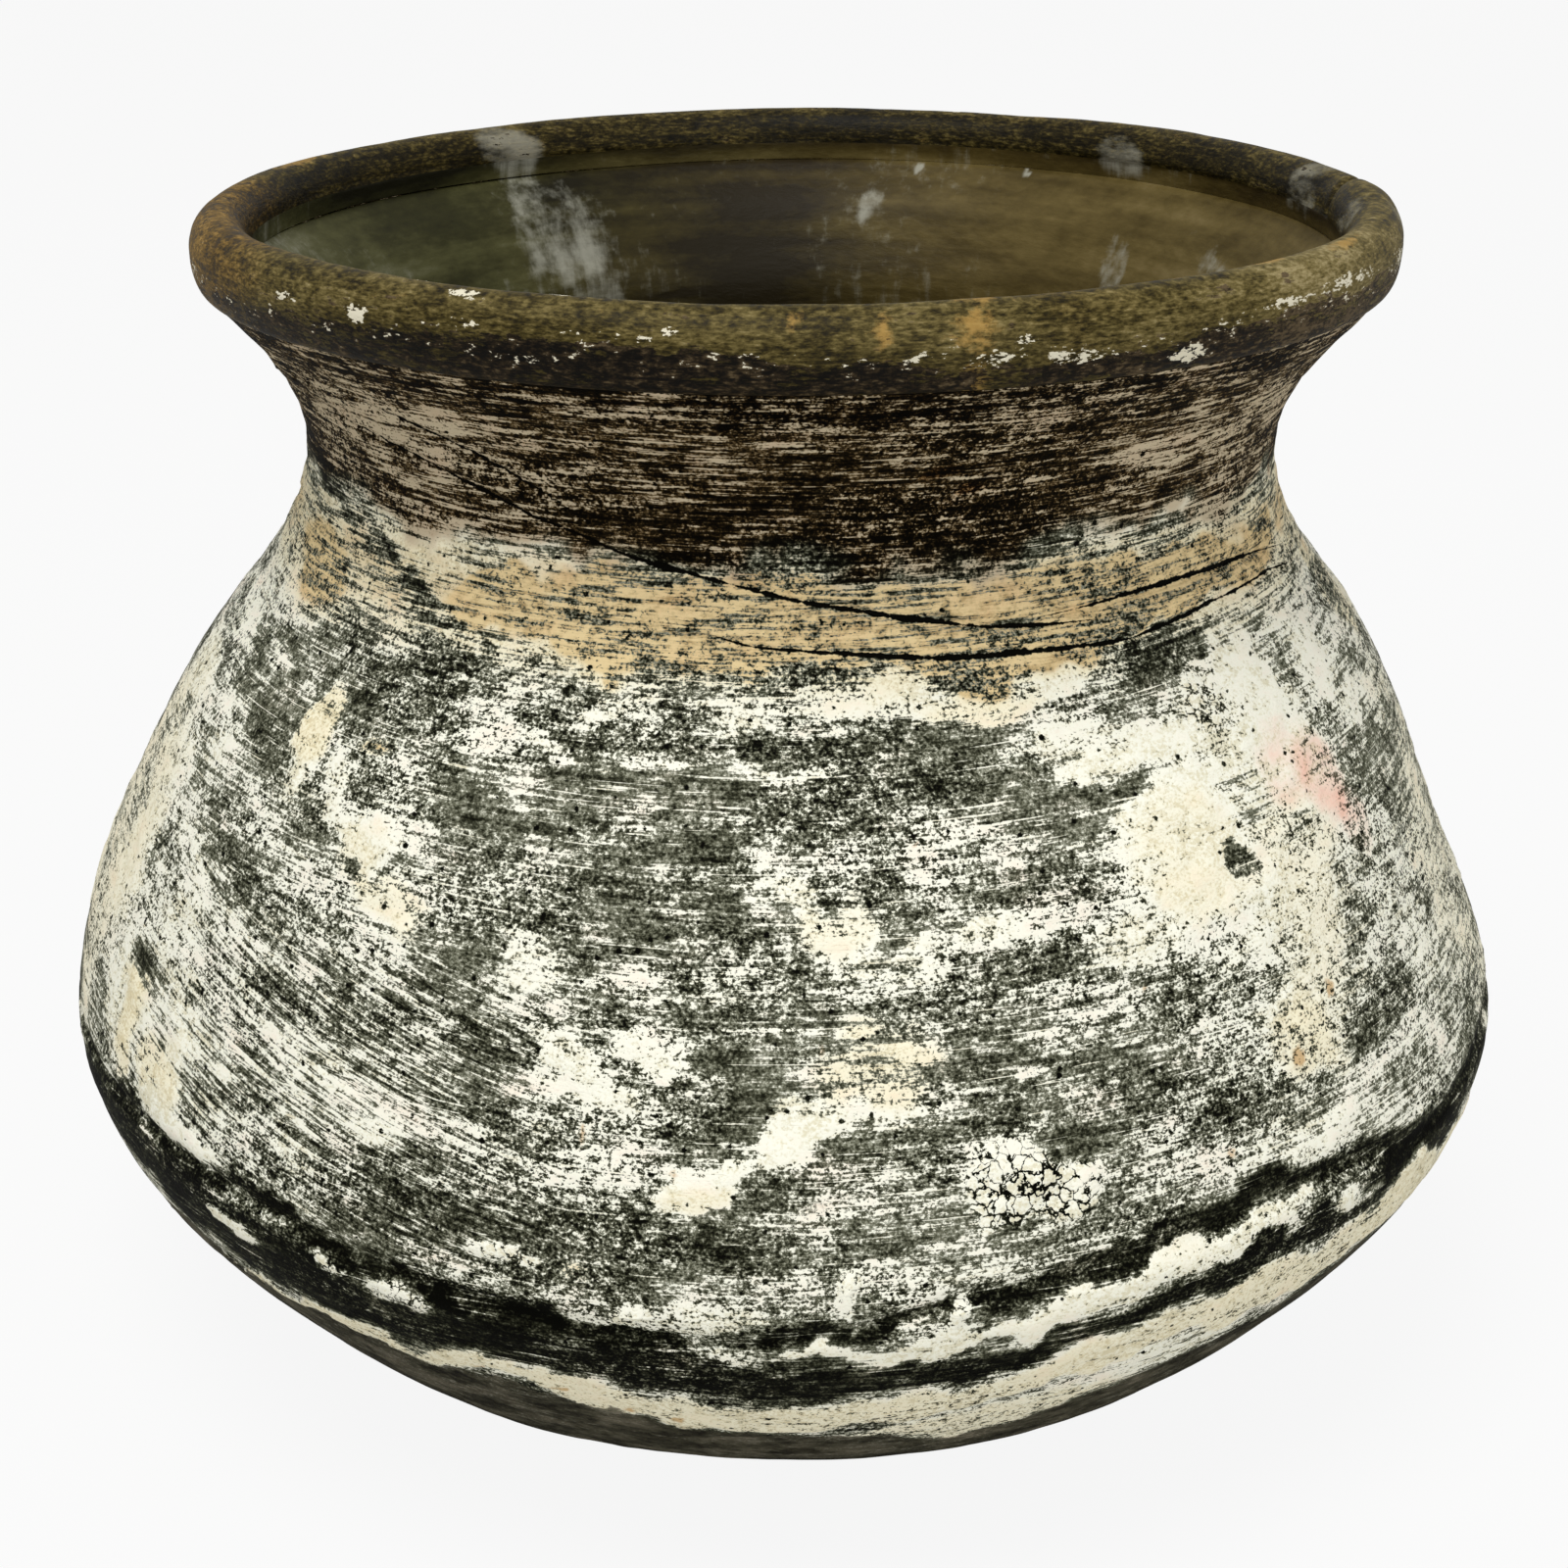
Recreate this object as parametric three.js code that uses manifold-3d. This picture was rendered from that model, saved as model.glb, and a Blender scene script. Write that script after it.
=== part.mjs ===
// Wide-mouthed earthenware pot: a flat-resting round bowl below, a full shoulder, a drawn-in neck and
// a flaring mouth with a thick rolled rim. A potter builds it in four sections that are luted together
// with slip: the base bowl up to the widest line, the shoulder wall, the neck collar and the rim roll.
// Each section carries a thin tongue on its inner half, and the next one laps over it and rests on a
// flat ledge. Shallow grooves are left outside where two sections meet.

import * as THREE from 'three';
import { mergeVertices } from 'three/addons/utils/BufferGeometryUtils.js';
import Module from 'manifold-3d';

// Driving dimensions in millimetres: radii from the upright axis, rises from one station to the next
const REST_RADIUS = 42;
const BELLY_RADIUS = 90;
const BELLY_RISE = 44;
const ROOT_RADIUS = 67.8;
const SHOULDER_RISE = 49.5;
const THROAT_RADIUS = 58.2;
const COVE_RISE = 20.3;
const LIP_RADIUS = 69.3;
const FLARE_RISE = 19.2;
const WALL_THICKNESS = 4.8;
const FLOOR_THICKNESS = 6.5;

// Slopes of the outside in degrees from upright, leaning outwards as the wall goes up
const REST_LEAN = 86;
const ROOT_LEAN = -40;
const LIP_LEAN = 48;

// Rolled rim
const ROLL_WIDTH = 6.7;
const ROLL_CROWN = 3.9;
const ROLL_SKIRT = 4.1;
const ROLL_OVERHANG = 1.4;
const ROLL_SEAT_RISE = 1.8;

// Lap joints between the sections
const TONGUE_THICKNESS = 2.3;
const TONGUE_RISE = 6;
const SLIP_CLEARANCE = 0.3;
const COLLAR_JOINT_RISE = 12.5;

// Grooves pressed round the outside, and the crease where the rim's coil laps over its own end
const GROOVE_WIDTH = 2.4;
const GROOVE_DEPTH = 0.8;
const GROOVE_SPACING = 3.6;
const CREASE_AZIMUTH = 5;
const CREASE_SKEW = 32;
const CREASE_WIDTH = 2.6;
const CREASE_DEPTH = 1.3;

// Fineness of the revolved surfaces
const RADIAL_SEGMENTS = 64;
const ROLL_ARC_STEPS = 4;
const SHORTEST_EDGE = 0.4;

// Fired clay under limewash, as it looks on each section
const CLAY_COLOURS = {
  base: 0x6f6d60,
  wall: 0x8d897a,
  collar: 0x5c524a,
  rim: 0x5d5638,
};
const CLAY_ROUGHNESS = 0.86;
const RIM_ROUGHNESS = 0.62;

const wasm = await Module();
wasm.setup();

// Stations of the outside, from the resting spot up to the point where the neck runs under the rim
const rest = new THREE.Vector2(REST_RADIUS, 0);
const belly = new THREE.Vector2(BELLY_RADIUS, BELLY_RISE);
const root = new THREE.Vector2(ROOT_RADIUS, belly.y + SHOULDER_RISE);
const throat = new THREE.Vector2(THROAT_RADIUS, root.y + COVE_RISE);
const lip = new THREE.Vector2(LIP_RADIUS, throat.y + FLARE_RISE);

// Heights at which the sections meet
const bellyJoint = belly.y;
const collarJoint = root.y + COLLAR_JOINT_RISE;
const rollSeat = lip.y + ROLL_SEAT_RISE;

// One stretch of the outside between two stations. A lean is the slope there in degrees from upright,
// and a reach, as a share of the rise, says how far the curve keeps that slope.
function stretch(steps, low, lowLean, lowReach, high, highLean, highReach) {
  const rise = high.y - low.y;
  const heading = (lean) => new THREE.Vector2(0, 1).rotateAround(new THREE.Vector2(), -THREE.MathUtils.degToRad(lean));
  const leaving = low.clone().addScaledVector(heading(lowLean), rise * lowReach);
  const arriving = high.clone().addScaledVector(heading(highLean), -rise * highReach);
  return { steps, curve: new THREE.CubicBezierCurve(low, leaving, arriving, high) };
}

const outside = [
  stretch(10, rest, REST_LEAN, 0.54, belly, 0, 0.35),
  stretch(9, belly, 0, 0.12, root, ROOT_LEAN, 0.33),
  stretch(5, root, ROOT_LEAN, 0.51, throat, 0, 0.29),
  stretch(5, throat, 0, 0.36, lip, LIP_LEAN, 0.49),
];

// The outside moved into the wall by a depth, so that a depth of one wall gives the inside
function layer(depth) {
  const points = [];
  for (const { steps, curve } of outside) {
    for (let step = points.length ? 1 : 0; step <= steps; step += 1) {
      const point = curve.getPoint(step / steps);
      const tangent = curve.getTangent(step / steps);
      points.push(new THREE.Vector2(point.x - tangent.y * depth, point.y + tangent.x * depth));
    }
  }
  return points;
}

// The point of a rising outline at one height
function pointAt(outline, height) {
  const next = Math.max(1, outline.findIndex((point) => point.y >= height));
  const [below, above] = [outline[next - 1], outline[next]];
  const radius = THREE.MathUtils.mapLinear(height, below.y, above.y, below.x, above.x);
  return new THREE.Vector2(radius, height);
}

// The part of a rising outline between two heights, with a point exactly on each
function between(outline, low, high) {
  const inner = outline.filter(({ y }) => y > low + SHORTEST_EDGE && y < high - SHORTEST_EDGE);
  return [pointAt(outline, low), ...inner, pointAt(outline, high)];
}

// A rising outline with a shallow V pressed into it, centred on one height
function grooved(outline, height) {
  const bottom = height - GROOVE_WIDTH / 2;
  const top = height + GROOVE_WIDTH / 2;
  const valley = pointAt(outline, height);
  valley.x -= GROOVE_DEPTH;
  const under = outline.filter(({ y }) => y < bottom - SHORTEST_EDGE);
  const over = outline.filter(({ y }) => y > top + SHORTEST_EDGE);
  return [...under, pointAt(outline, bottom), valley, pointAt(outline, top), ...over];
}

const grooveHeights = [bellyJoint, collarJoint - GROOVE_SPACING, collarJoint];
const skin = grooveHeights.reduce(grooved, layer(0));
const inside = layer(WALL_THICKNESS);
const tongueFace = layer(WALL_THICKNESS - TONGUE_THICKNESS);
const lapFace = layer(WALL_THICKNESS - TONGUE_THICKNESS - SLIP_CLEARANCE);

// Upper end of a section: the ledge outside and the tongue inside, from the skin over to the inside
function tongueEnd(joint) {
  return between(tongueFace, joint, joint + TONGUE_RISE);
}

// Lower end of a section: the recess that laps over the tongue, from the inside over to the skin
function lapEnd(joint) {
  return between(lapFace, joint, joint + TONGUE_RISE + SLIP_CLEARANCE).reverse();
}

function insideDown(high, low) {
  return between(inside, low, high).reverse();
}

// Solid of revolution about the upright axis
function revolve(profile) {
  const geometry = new THREE.LatheGeometry(profile, RADIAL_SEGMENTS);
  return geometry.rotateX(Math.PI / 2);
}

function section(name, geometry, color, roughness) {
  const mesh = new THREE.Mesh(geometry, new THREE.MeshStandardMaterial({ color, roughness, metalness: 0 }));
  mesh.name = name;
  return mesh;
}

function baseBowl() {
  const profile = [
    new THREE.Vector2(0, 0),
    ...between(skin, 0, bellyJoint),
    ...tongueEnd(bellyJoint),
    ...insideDown(bellyJoint + TONGUE_RISE, FLOOR_THICKNESS),
    new THREE.Vector2(0, FLOOR_THICKNESS),
  ];
  return section('base_bowl', revolve(profile), CLAY_COLOURS.base, CLAY_ROUGHNESS);
}

function bodyWall() {
  const profile = [
    ...between(skin, bellyJoint, collarJoint),
    ...tongueEnd(collarJoint),
    ...insideDown(collarJoint + TONGUE_RISE, bellyJoint + TONGUE_RISE + SLIP_CLEARANCE),
    ...lapEnd(bellyJoint),
  ];
  profile.push(profile[0].clone());
  return section('body_wall', revolve(profile), CLAY_COLOURS.wall, CLAY_ROUGHNESS);
}

// The collar ends in a short upright tongue that the rim is folded over
const rollSeatInside = pointAt(inside, rollSeat);
const rollTongueRadius = rollSeatInside.x + TONGUE_THICKNESS;

function neckCollar() {
  const profile = [
    ...between(skin, collarJoint, lip.y),
    new THREE.Vector2(rollTongueRadius, lip.y),
    new THREE.Vector2(rollTongueRadius, rollSeat),
    ...insideDown(rollSeat, collarJoint + TONGUE_RISE + SLIP_CLEARANCE),
    ...lapEnd(collarJoint),
  ];
  profile.push(profile[0].clone());
  return section('neck_collar', revolve(profile), CLAY_COLOURS.collar, CLAY_ROUGHNESS);
}

// The rim's section: a seat on the tongue, a skirt that hangs outside it and a round crown
const skirtBottom = lip.y + SLIP_CLEARANCE;
const rollOuterRadius = lip.x + ROLL_OVERHANG;
const crownBase = skirtBottom + ROLL_SKIRT;

function rollProfile() {
  const skirtRadius = rollTongueRadius + SLIP_CLEARANCE;
  const crownRadius = rollOuterRadius - ROLL_WIDTH / 2;
  const outline = new THREE.Path();
  outline.moveTo(rollSeatInside.x, rollSeat);
  outline.lineTo(skirtRadius, rollSeat);
  outline.lineTo(skirtRadius, skirtBottom);
  outline.lineTo(lip.x, skirtBottom);
  outline.absellipse(lip.x, crownBase, ROLL_OVERHANG, ROLL_SKIRT, -Math.PI / 2, 0, false, 0);
  outline.absellipse(crownRadius, crownBase, ROLL_WIDTH / 2, ROLL_CROWN, 0, Math.PI, false, 0);
  outline.lineTo(rollSeatInside.x, rollSeat);
  return outline.getPoints(ROLL_ARC_STEPS);
}

// Boolean work needs shared vertices, so the positions alone are merged first
function toSolid(geometry) {
  geometry.deleteAttribute('normal');
  geometry.deleteAttribute('uv');
  const merged = mergeVertices(geometry);
  const vertProperties = new Float32Array(merged.getAttribute('position').array);
  const triVerts = new Uint32Array(merged.getIndex().array);
  return new wasm.Manifold(new wasm.Mesh({ numProp: 3, vertProperties, triVerts }));
}

function toGeometry(solid) {
  const { vertProperties, triVerts } = solid.getMesh();
  const geometry = new THREE.BufferGeometry();
  geometry.setAttribute('position', new THREE.BufferAttribute(vertProperties, 3));
  geometry.setIndex(new THREE.BufferAttribute(triVerts, 1));
  geometry.computeVertexNormals();
  return geometry;
}

// A V-shaped bar that lies skewed across the crown, where the two ends of the rim's coil lap
function creaseCutter() {
  const crest = crownBase + ROLL_CROWN;
  const length = ROLL_WIDTH * 2;
  const notch = new THREE.Shape();
  notch.moveTo(0, -CREASE_DEPTH);
  notch.lineTo(CREASE_WIDTH / 2, 0);
  notch.lineTo(CREASE_WIDTH / 2, CREASE_DEPTH);
  notch.lineTo(-CREASE_WIDTH / 2, CREASE_DEPTH);
  notch.lineTo(-CREASE_WIDTH / 2, 0);
  notch.closePath();
  const bar = new THREE.ExtrudeGeometry(notch, { depth: length, bevelEnabled: false });
  bar.translate(0, 0, -length / 2);
  bar.rotateX(Math.PI / 2);
  bar.rotateZ(Math.PI / 2 + THREE.MathUtils.degToRad(CREASE_SKEW));
  bar.translate(rollOuterRadius - ROLL_WIDTH / 2, 0, crest);
  bar.rotateZ(THREE.MathUtils.degToRad(CREASE_AZIMUTH));
  return bar;
}

function rimRoll() {
  const ring = toSolid(revolve(rollProfile()));
  const creased = ring.subtract(toSolid(creaseCutter()));
  return section('rim_roll', toGeometry(creased), CLAY_COLOURS.rim, RIM_ROUGHNESS);
}

const pot = new THREE.Group();
pot.add(baseBowl(), bodyWall(), neckCollar(), rimRoll());

export default pot;
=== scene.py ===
# %% [markdown]
# # A limewashed clay pot
# This script dresses a wide-mouthed earthenware pot. The potter built it in four sections: a round base
# bowl, the shoulder wall, the neck collar and the rolled rim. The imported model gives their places, and
# each section is modelled again here, finely enough to carry the marks of hand, fire and limewash.

# %% Load the fixed frame
import math
import random

import bmesh
import bpy
import numpy as np
from mathutils import Matrix, Vector, geometry


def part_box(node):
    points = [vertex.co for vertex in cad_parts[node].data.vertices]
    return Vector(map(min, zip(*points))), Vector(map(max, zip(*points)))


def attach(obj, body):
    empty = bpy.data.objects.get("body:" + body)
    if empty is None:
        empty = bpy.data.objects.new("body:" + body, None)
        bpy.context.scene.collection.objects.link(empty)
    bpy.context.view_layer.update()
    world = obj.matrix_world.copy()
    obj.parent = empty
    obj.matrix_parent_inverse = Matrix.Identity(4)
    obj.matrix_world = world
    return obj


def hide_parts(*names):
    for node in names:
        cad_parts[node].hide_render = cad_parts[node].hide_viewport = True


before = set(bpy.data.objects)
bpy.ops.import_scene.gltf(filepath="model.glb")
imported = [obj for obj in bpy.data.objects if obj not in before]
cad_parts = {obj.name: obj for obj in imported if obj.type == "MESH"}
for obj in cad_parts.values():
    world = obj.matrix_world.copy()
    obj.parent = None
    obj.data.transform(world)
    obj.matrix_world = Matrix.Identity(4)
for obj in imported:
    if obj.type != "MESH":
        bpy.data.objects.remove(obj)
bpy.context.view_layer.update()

MM = 0.001
print("sections:", sorted(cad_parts))

# %% [markdown]
# ## The outside as one smooth line
# Half of the pot's outline is a line in the plane of radius and height. It could be drawn by eye, but
# the sections have to meet the frame, so it runs through the same stations: the resting spot, the
# belly, the root of the neck, the throat and the lip. Each stretch is a Bezier curve that leaves and
# arrives at a stated lean, in degrees from upright.

# %% Stations of the outline
REST_RADIUS = 42 * MM
BELLY_RADIUS = 90 * MM
ROOT = Vector((67.8 * MM, 0, 93.5 * MM))
THROAT = Vector((58.2 * MM, 0, 113.8 * MM))
LIP = Vector((69.3 * MM, 0, 133 * MM))
WALL = 4.8 * MM
FLOOR = 6.5 * MM

BELLY_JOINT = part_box("body_wall")[0].z
COLLAR_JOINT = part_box("neck_collar")[0].z
ROLL_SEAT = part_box("neck_collar")[1].z
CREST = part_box("rim_roll")[1].z
REST = Vector((REST_RADIUS, 0, 0))
BELLY = Vector((BELLY_RADIUS, 0, BELLY_JOINT))


def heading(lean):
    angle = math.radians(lean)
    return Vector((math.sin(angle), 0, math.cos(angle)))


def stretch(low, low_lean, low_reach, high, high_lean, high_reach, points=120):
    rise = high.z - low.z
    leaving = low + heading(low_lean) * rise * low_reach
    arriving = high - heading(high_lean) * rise * high_reach
    curve = geometry.interpolate_bezier(low, leaving, arriving, high, points)
    return [(p.x, p.z) for p in curve[:-1]]


SKIN = np.array(
    stretch(REST, 86, 0.54, BELLY, 0, 0.35)
    + stretch(BELLY, 0, 0.12, ROOT, -40, 0.33)
    + stretch(ROOT, -40, 0.51, THROAT, 0, 0.29)
    + stretch(THROAT, 0, 0.36, LIP, 48, 0.49)
    + [(LIP.x, LIP.z)]
)
TANGENT = np.gradient(SKIN, axis=0)
TANGENT /= np.linalg.norm(TANGENT, axis=1)[:, None]
print("outline points:", len(SKIN))

# %% Layers of the wall, and pieces of them between two heights


def layer(depth):
    """The outline moved into the wall by a depth."""
    return SKIN + np.stack([-TANGENT[:, 1], TANGENT[:, 0]], 1) * depth


def between(line, low, high, spacing):
    """The part of a rising line between two heights, as evenly spaced points."""
    dense = np.linspace(low, high, 400)
    radius = np.interp(dense, line[:, 1], line[:, 0])
    along = np.concatenate([[0], np.cumsum(np.hypot(np.diff(radius), np.diff(dense)))])
    count = max(1, round(along[-1] / spacing))
    places = np.linspace(0, along[-1], count + 1)
    return np.stack([np.interp(places, along, radius), np.interp(places, along, dense)], 1)


TONGUE = 2.3 * MM
TONGUE_RISE = 6 * MM
CLEARANCE = 0.3 * MM
INSIDE = layer(WALL)
TONGUE_FACE = layer(WALL - TONGUE)
LAP_FACE = layer(WALL - TONGUE - CLEARANCE)

SKIN_STEP = 0.76 * MM
INSIDE_STEP = 3.5 * MM
LAP_STEP = 2 * MM

# %% [markdown]
# ## Turning a section
# A wheel-thrown pot is a solid of revolution, so each section starts as a closed profile that bmesh
# spins round the upright axis. A full fine spin is slow, so a slice is spun, and copies of it are set
# round the ring and welded. A number on each profile point says which side it belongs to: 1 for the
# skin, -1 for the inside and 0 for the faces of a joint. It is copied with the points.

# %% Spin a profile into a closed section
SLICES = 24
SLICE_STEPS = 30
SKIN_SIDE, JOINT_SIDE, INNER_SIDE = 1.0, 0.0, -1.0


def put_in_scene(name, data):
    thing = bpy.data.objects.new(name, data)
    bpy.context.scene.collection.objects.link(thing)
    return thing


def turn(name, runs, closed):
    """Spins runs of profile points, each with its side, into a mesh object."""
    bm = bmesh.new()
    side = bm.verts.layers.float.new("side")
    profile = []
    for which, points in runs:
        for radius, height in points:
            spot = Vector((radius, 0, height))
            if profile and (profile[-1].co - spot).length < 1e-6:
                continue
            vert = bm.verts.new(spot)
            vert[side] = which
            profile.append(vert)
    ends = zip(profile, profile[1:] + profile[:1]) if closed else zip(profile, profile[1:])
    edges = [bm.edges.new(pair) for pair in ends]
    slice_angle = 2 * math.pi / SLICES
    bmesh.ops.spin(
        bm, geom=profile + edges, cent=(0, 0, 0), axis=(0, 0, 1), dvec=(0, 0, 0),
        angle=slice_angle, steps=SLICE_STEPS, use_duplicate=False,
    )
    first_slice = bm.verts[:] + bm.edges[:] + bm.faces[:]
    for index in range(1, SLICES):
        copied = bmesh.ops.duplicate(bm, geom=first_slice)["geom"]
        corners = [part for part in copied if isinstance(part, bmesh.types.BMVert)]
        turned = Matrix.Rotation(index * slice_angle, 3, "Z")
        bmesh.ops.rotate(bm, verts=corners, cent=(0, 0, 0), matrix=turned)
    bmesh.ops.remove_doubles(bm, verts=bm.verts, dist=1e-6)
    bmesh.ops.recalc_face_normals(bm, faces=bm.faces)
    mesh = bpy.data.meshes.new(name)
    bm.to_mesh(mesh)
    bm.free()
    print(name, "has", len(mesh.vertices), "vertices")
    return put_in_scene(name, mesh)


def tongue_end(joint):
    return between(TONGUE_FACE, joint, joint + TONGUE_RISE, LAP_STEP)


def lap_end(joint):
    return between(LAP_FACE, joint, joint + TONGUE_RISE + CLEARANCE, LAP_STEP)[::-1]


# %% The base bowl
floor_line = between(INSIDE, FLOOR, BELLY_JOINT + TONGUE_RISE, INSIDE_STEP)[::-1]
rest_disc = [(REST_RADIUS * share, 0) for share in np.linspace(0, 1, 7)]
base = turn(
    "limewashed_base_bowl",
    [
        (SKIN_SIDE, rest_disc),
        (SKIN_SIDE, between(SKIN, 0, BELLY_JOINT, SKIN_STEP)),
        (JOINT_SIDE, tongue_end(BELLY_JOINT)),
        (INNER_SIDE, floor_line),
        (INNER_SIDE, [(floor_line[-1][0] * share, FLOOR) for share in np.linspace(0.8, 0, 5)]),
    ],
    closed=False,
)

# %% The shoulder wall
wall = turn(
    "limewashed_body_wall",
    [
        (SKIN_SIDE, between(SKIN, BELLY_JOINT, COLLAR_JOINT, SKIN_STEP)),
        (JOINT_SIDE, tongue_end(COLLAR_JOINT)),
        (INNER_SIDE, between(
            INSIDE, BELLY_JOINT + TONGUE_RISE + CLEARANCE, COLLAR_JOINT + TONGUE_RISE, INSIDE_STEP)[::-1]),
        (JOINT_SIDE, lap_end(BELLY_JOINT)),
    ],
    closed=True,
)

# %% The neck collar
COLLAR_STEP = 0.6 * MM
COLLAR_INSIDE_STEP = 0.9 * MM
seat_inside = np.interp(ROLL_SEAT, INSIDE[:, 1], INSIDE[:, 0])
# the collar's top band under the lip is dark with soot and with painted shade
collar = turn(
    "sooted_and_shaded_neck_collar",
    [
        (SKIN_SIDE, between(SKIN, COLLAR_JOINT, LIP.z, COLLAR_STEP)),
        (JOINT_SIDE, [(seat_inside + TONGUE, LIP.z), (seat_inside + TONGUE, ROLL_SEAT)]),
        (INNER_SIDE, between(
            INSIDE, COLLAR_JOINT + TONGUE_RISE + CLEARANCE, ROLL_SEAT, COLLAR_INSIDE_STEP)[::-1]),
        (JOINT_SIDE, lap_end(COLLAR_JOINT)),
    ],
    closed=True,
)

# %% The rolled rim
ROLL_WIDTH = 6.7 * MM
ROLL_CROWN = 3.9 * MM
ROLL_OVERHANG = 1.4 * MM
SKIRT_BOTTOM = LIP.z + 0.03 * MM
crown_base = CREST - ROLL_CROWN
roll_outer = LIP.x + ROLL_OVERHANG
crown_radius = roll_outer - ROLL_WIDTH / 2
skirt_inside = seat_inside + TONGUE + CLEARANCE


def arc(centre_radius, centre_height, across, up, start, end, steps):
    angles = np.radians(np.linspace(start, end, steps + 1))
    return np.stack([centre_radius + across * np.cos(angles), centre_height + up * np.sin(angles)], 1)


skirt_arc = arc(LIP.x, crown_base, ROLL_OVERHANG, crown_base - SKIRT_BOTTOM, -90, 0, 12)
crown_arc = arc(crown_radius, crown_base, ROLL_WIDTH / 2, ROLL_CROWN, 0, 180, 32)
inner_face = np.linspace((crown_radius - ROLL_WIDTH / 2, crown_base), (seat_inside, ROLL_SEAT), 8)
rim = turn(
    "burnished_rim_roll",
    [
        (JOINT_SIDE, [(seat_inside, ROLL_SEAT), (skirt_inside, ROLL_SEAT), (skirt_inside, SKIRT_BOTTOM)]),
        (SKIN_SIDE, skirt_arc),
        (SKIN_SIDE, crown_arc),
        (INNER_SIDE, inner_face[1:-1]),
    ],
    closed=True,
)

# %% [markdown]
# ## Where things are on the pot
# Marks are placed as a potter would point at them: by compass direction round the pot and by height.
# Azimuth -90 is the side that faces the viewer, -180 the left and 0 the right. Every field below is a
# number per vertex, so the same rules shape the relief and steer the finish, across all sections.

# %% Read a section's vertices, and smooth random fields
CELLS = 48
LATTICE = np.random.default_rng(11).uniform(-0.8, 0.8, (CELLS, CELLS, CELLS, 3))


def read(items, key, kind=np.float32, width=1):
    """One property of all vertices, corners or faces as an array."""
    numbers = np.empty(len(items) * width, kind)
    items.foreach_get(key, numbers)
    return numbers if width == 1 else numbers.reshape(-1, width)


def survey(piece):
    """Places, sides, azimuths in degrees and heights in millimetres of a section's vertices."""
    place = read(piece.data.vertices, "co", width=3).astype(float)
    side = read(piece.data.attributes["side"].data, "value")
    azimuth = np.degrees(np.arctan2(place[:, 1], place[:, 0]))
    return place, side, azimuth, place[:, 2] / MM


def rough(place, size):
    """Three smooth random numbers per point, from a seeded lattice whose cells are that many mm."""
    cell = place / (size * MM)
    low = np.floor(cell).astype(int)
    share = cell - low
    share = share * share * (3 - 2 * share)
    total = np.zeros_like(place)
    for corner in np.ndindex(2, 2, 2):
        weight = np.prod(np.where(corner, share, 1 - share), axis=1)
        total += weight[:, None] * LATTICE[tuple(((low + corner) % CELLS).T)]
    return total


def soft_step(low, high, value):
    share = np.clip((value - low) / (high - low), 0, 1)
    return share * share * (3 - 2 * share)


def angle_from(azimuth, centre):
    return (azimuth - centre + 180) % 360 - 180


# %% [markdown]
# ## Lines cut round the pot
# A twig held against the turning neck cut thin lines that never run level, and the paddle left a crease
# at the widest point. Each line is a list of azimuths, heights in millimetres and strengths. Where the
# strength falls to nothing the line thins out and ends, as a cut does when the tool lifts.

# %% Lines and their distances
NECK_LINES = [
    [(-150, 124, 0), (-138, 122, 0.5), (-130, 120.3, 0.8), (-123, 118.4, 0.9), (-118, 116.5, 1),
     (-112, 114.9, 1), (-106, 113, 1), (-98, 111.4, 1), (-90, 109.5, 1), (-80, 107.6, 1),
     (-70, 105.8, 0.9), (-62, 105.1, 0.6), (-57, 104.8, 0), (60, 108, 0), (80, 110, 0.8),
     (140, 113, 0.9), (170, 115, 0)],
    [(-98, 106, 0), (-94, 105, 0.6), (-84, 104.2, 0.8), (-75, 103.3, 1), (-64, 102.9, 1), (-56, 102.4, 0.7),
     (-53, 102.3, 0), (20, 103, 0), (40, 104, 1), (100, 106.5, 1), (130, 107, 0)],
    [(-63, 106, 0), (-58, 106.2, 0.7), (-52, 106.5, 0.9), (-45, 106.5, 1), (-35, 106.1, 0.9),
     (-28, 105.4, 0.6), (-20, 104, 0), (150, 108, 0), (165, 107.5, 0.7), (-178, 107, 0.7), (-160, 108, 0)],
    [(-54, 102.2, 0), (-50, 102.6, 0.7), (-41, 103.2, 0.9), (-27, 103.1, 0.6), (-20, 102, 0), (-140, 127, 0),
     (-133, 125.8, 0.5), (-126, 124, 0.7), (-120, 121.5, 0.7), (-116, 119.5, 0.6), (-110, 116, 0)],
]
BELLY_CREASE = [
    (-165, 47, 0.2), (-138, 46.5, 0.5), (-122, 45, 0.9), (-105, 42, 0.9), (-92, 41, 0.6),
    (-84, 43.5, 0.5), (-78, 45.6, 0.8), (-70, 46.4, 1), (-62, 46.8, 1), (-54, 48, 1), (-46, 48, 1),
    (-38, 45, 1), (-20, 46, 0.9), (30, 47, 0.6), (120, 46, 0.9), (170, 46, 0.6),
]


def path_at(line, azimuth):
    """The height and the strength of a line at each azimuth."""
    angles, heights, strengths = np.array(line).T
    order = np.argsort(angles)
    level = np.interp(azimuth, angles[order], heights[order], period=360)
    return level, np.interp(azimuth, angles[order], strengths[order], period=360)


def line_offset(line, azimuth, height):
    """Millimetres above a line, divided by its strength, so a weak line is a thin one."""
    level, strength = path_at(line, azimuth)
    return (height - level) / np.maximum(strength, 0.02)


def dent(offset, width):
    """1 in the middle of a line and 0 away from it, with offset and width in one unit."""
    return np.exp(-((offset / (width / 2)) ** 2))
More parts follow.
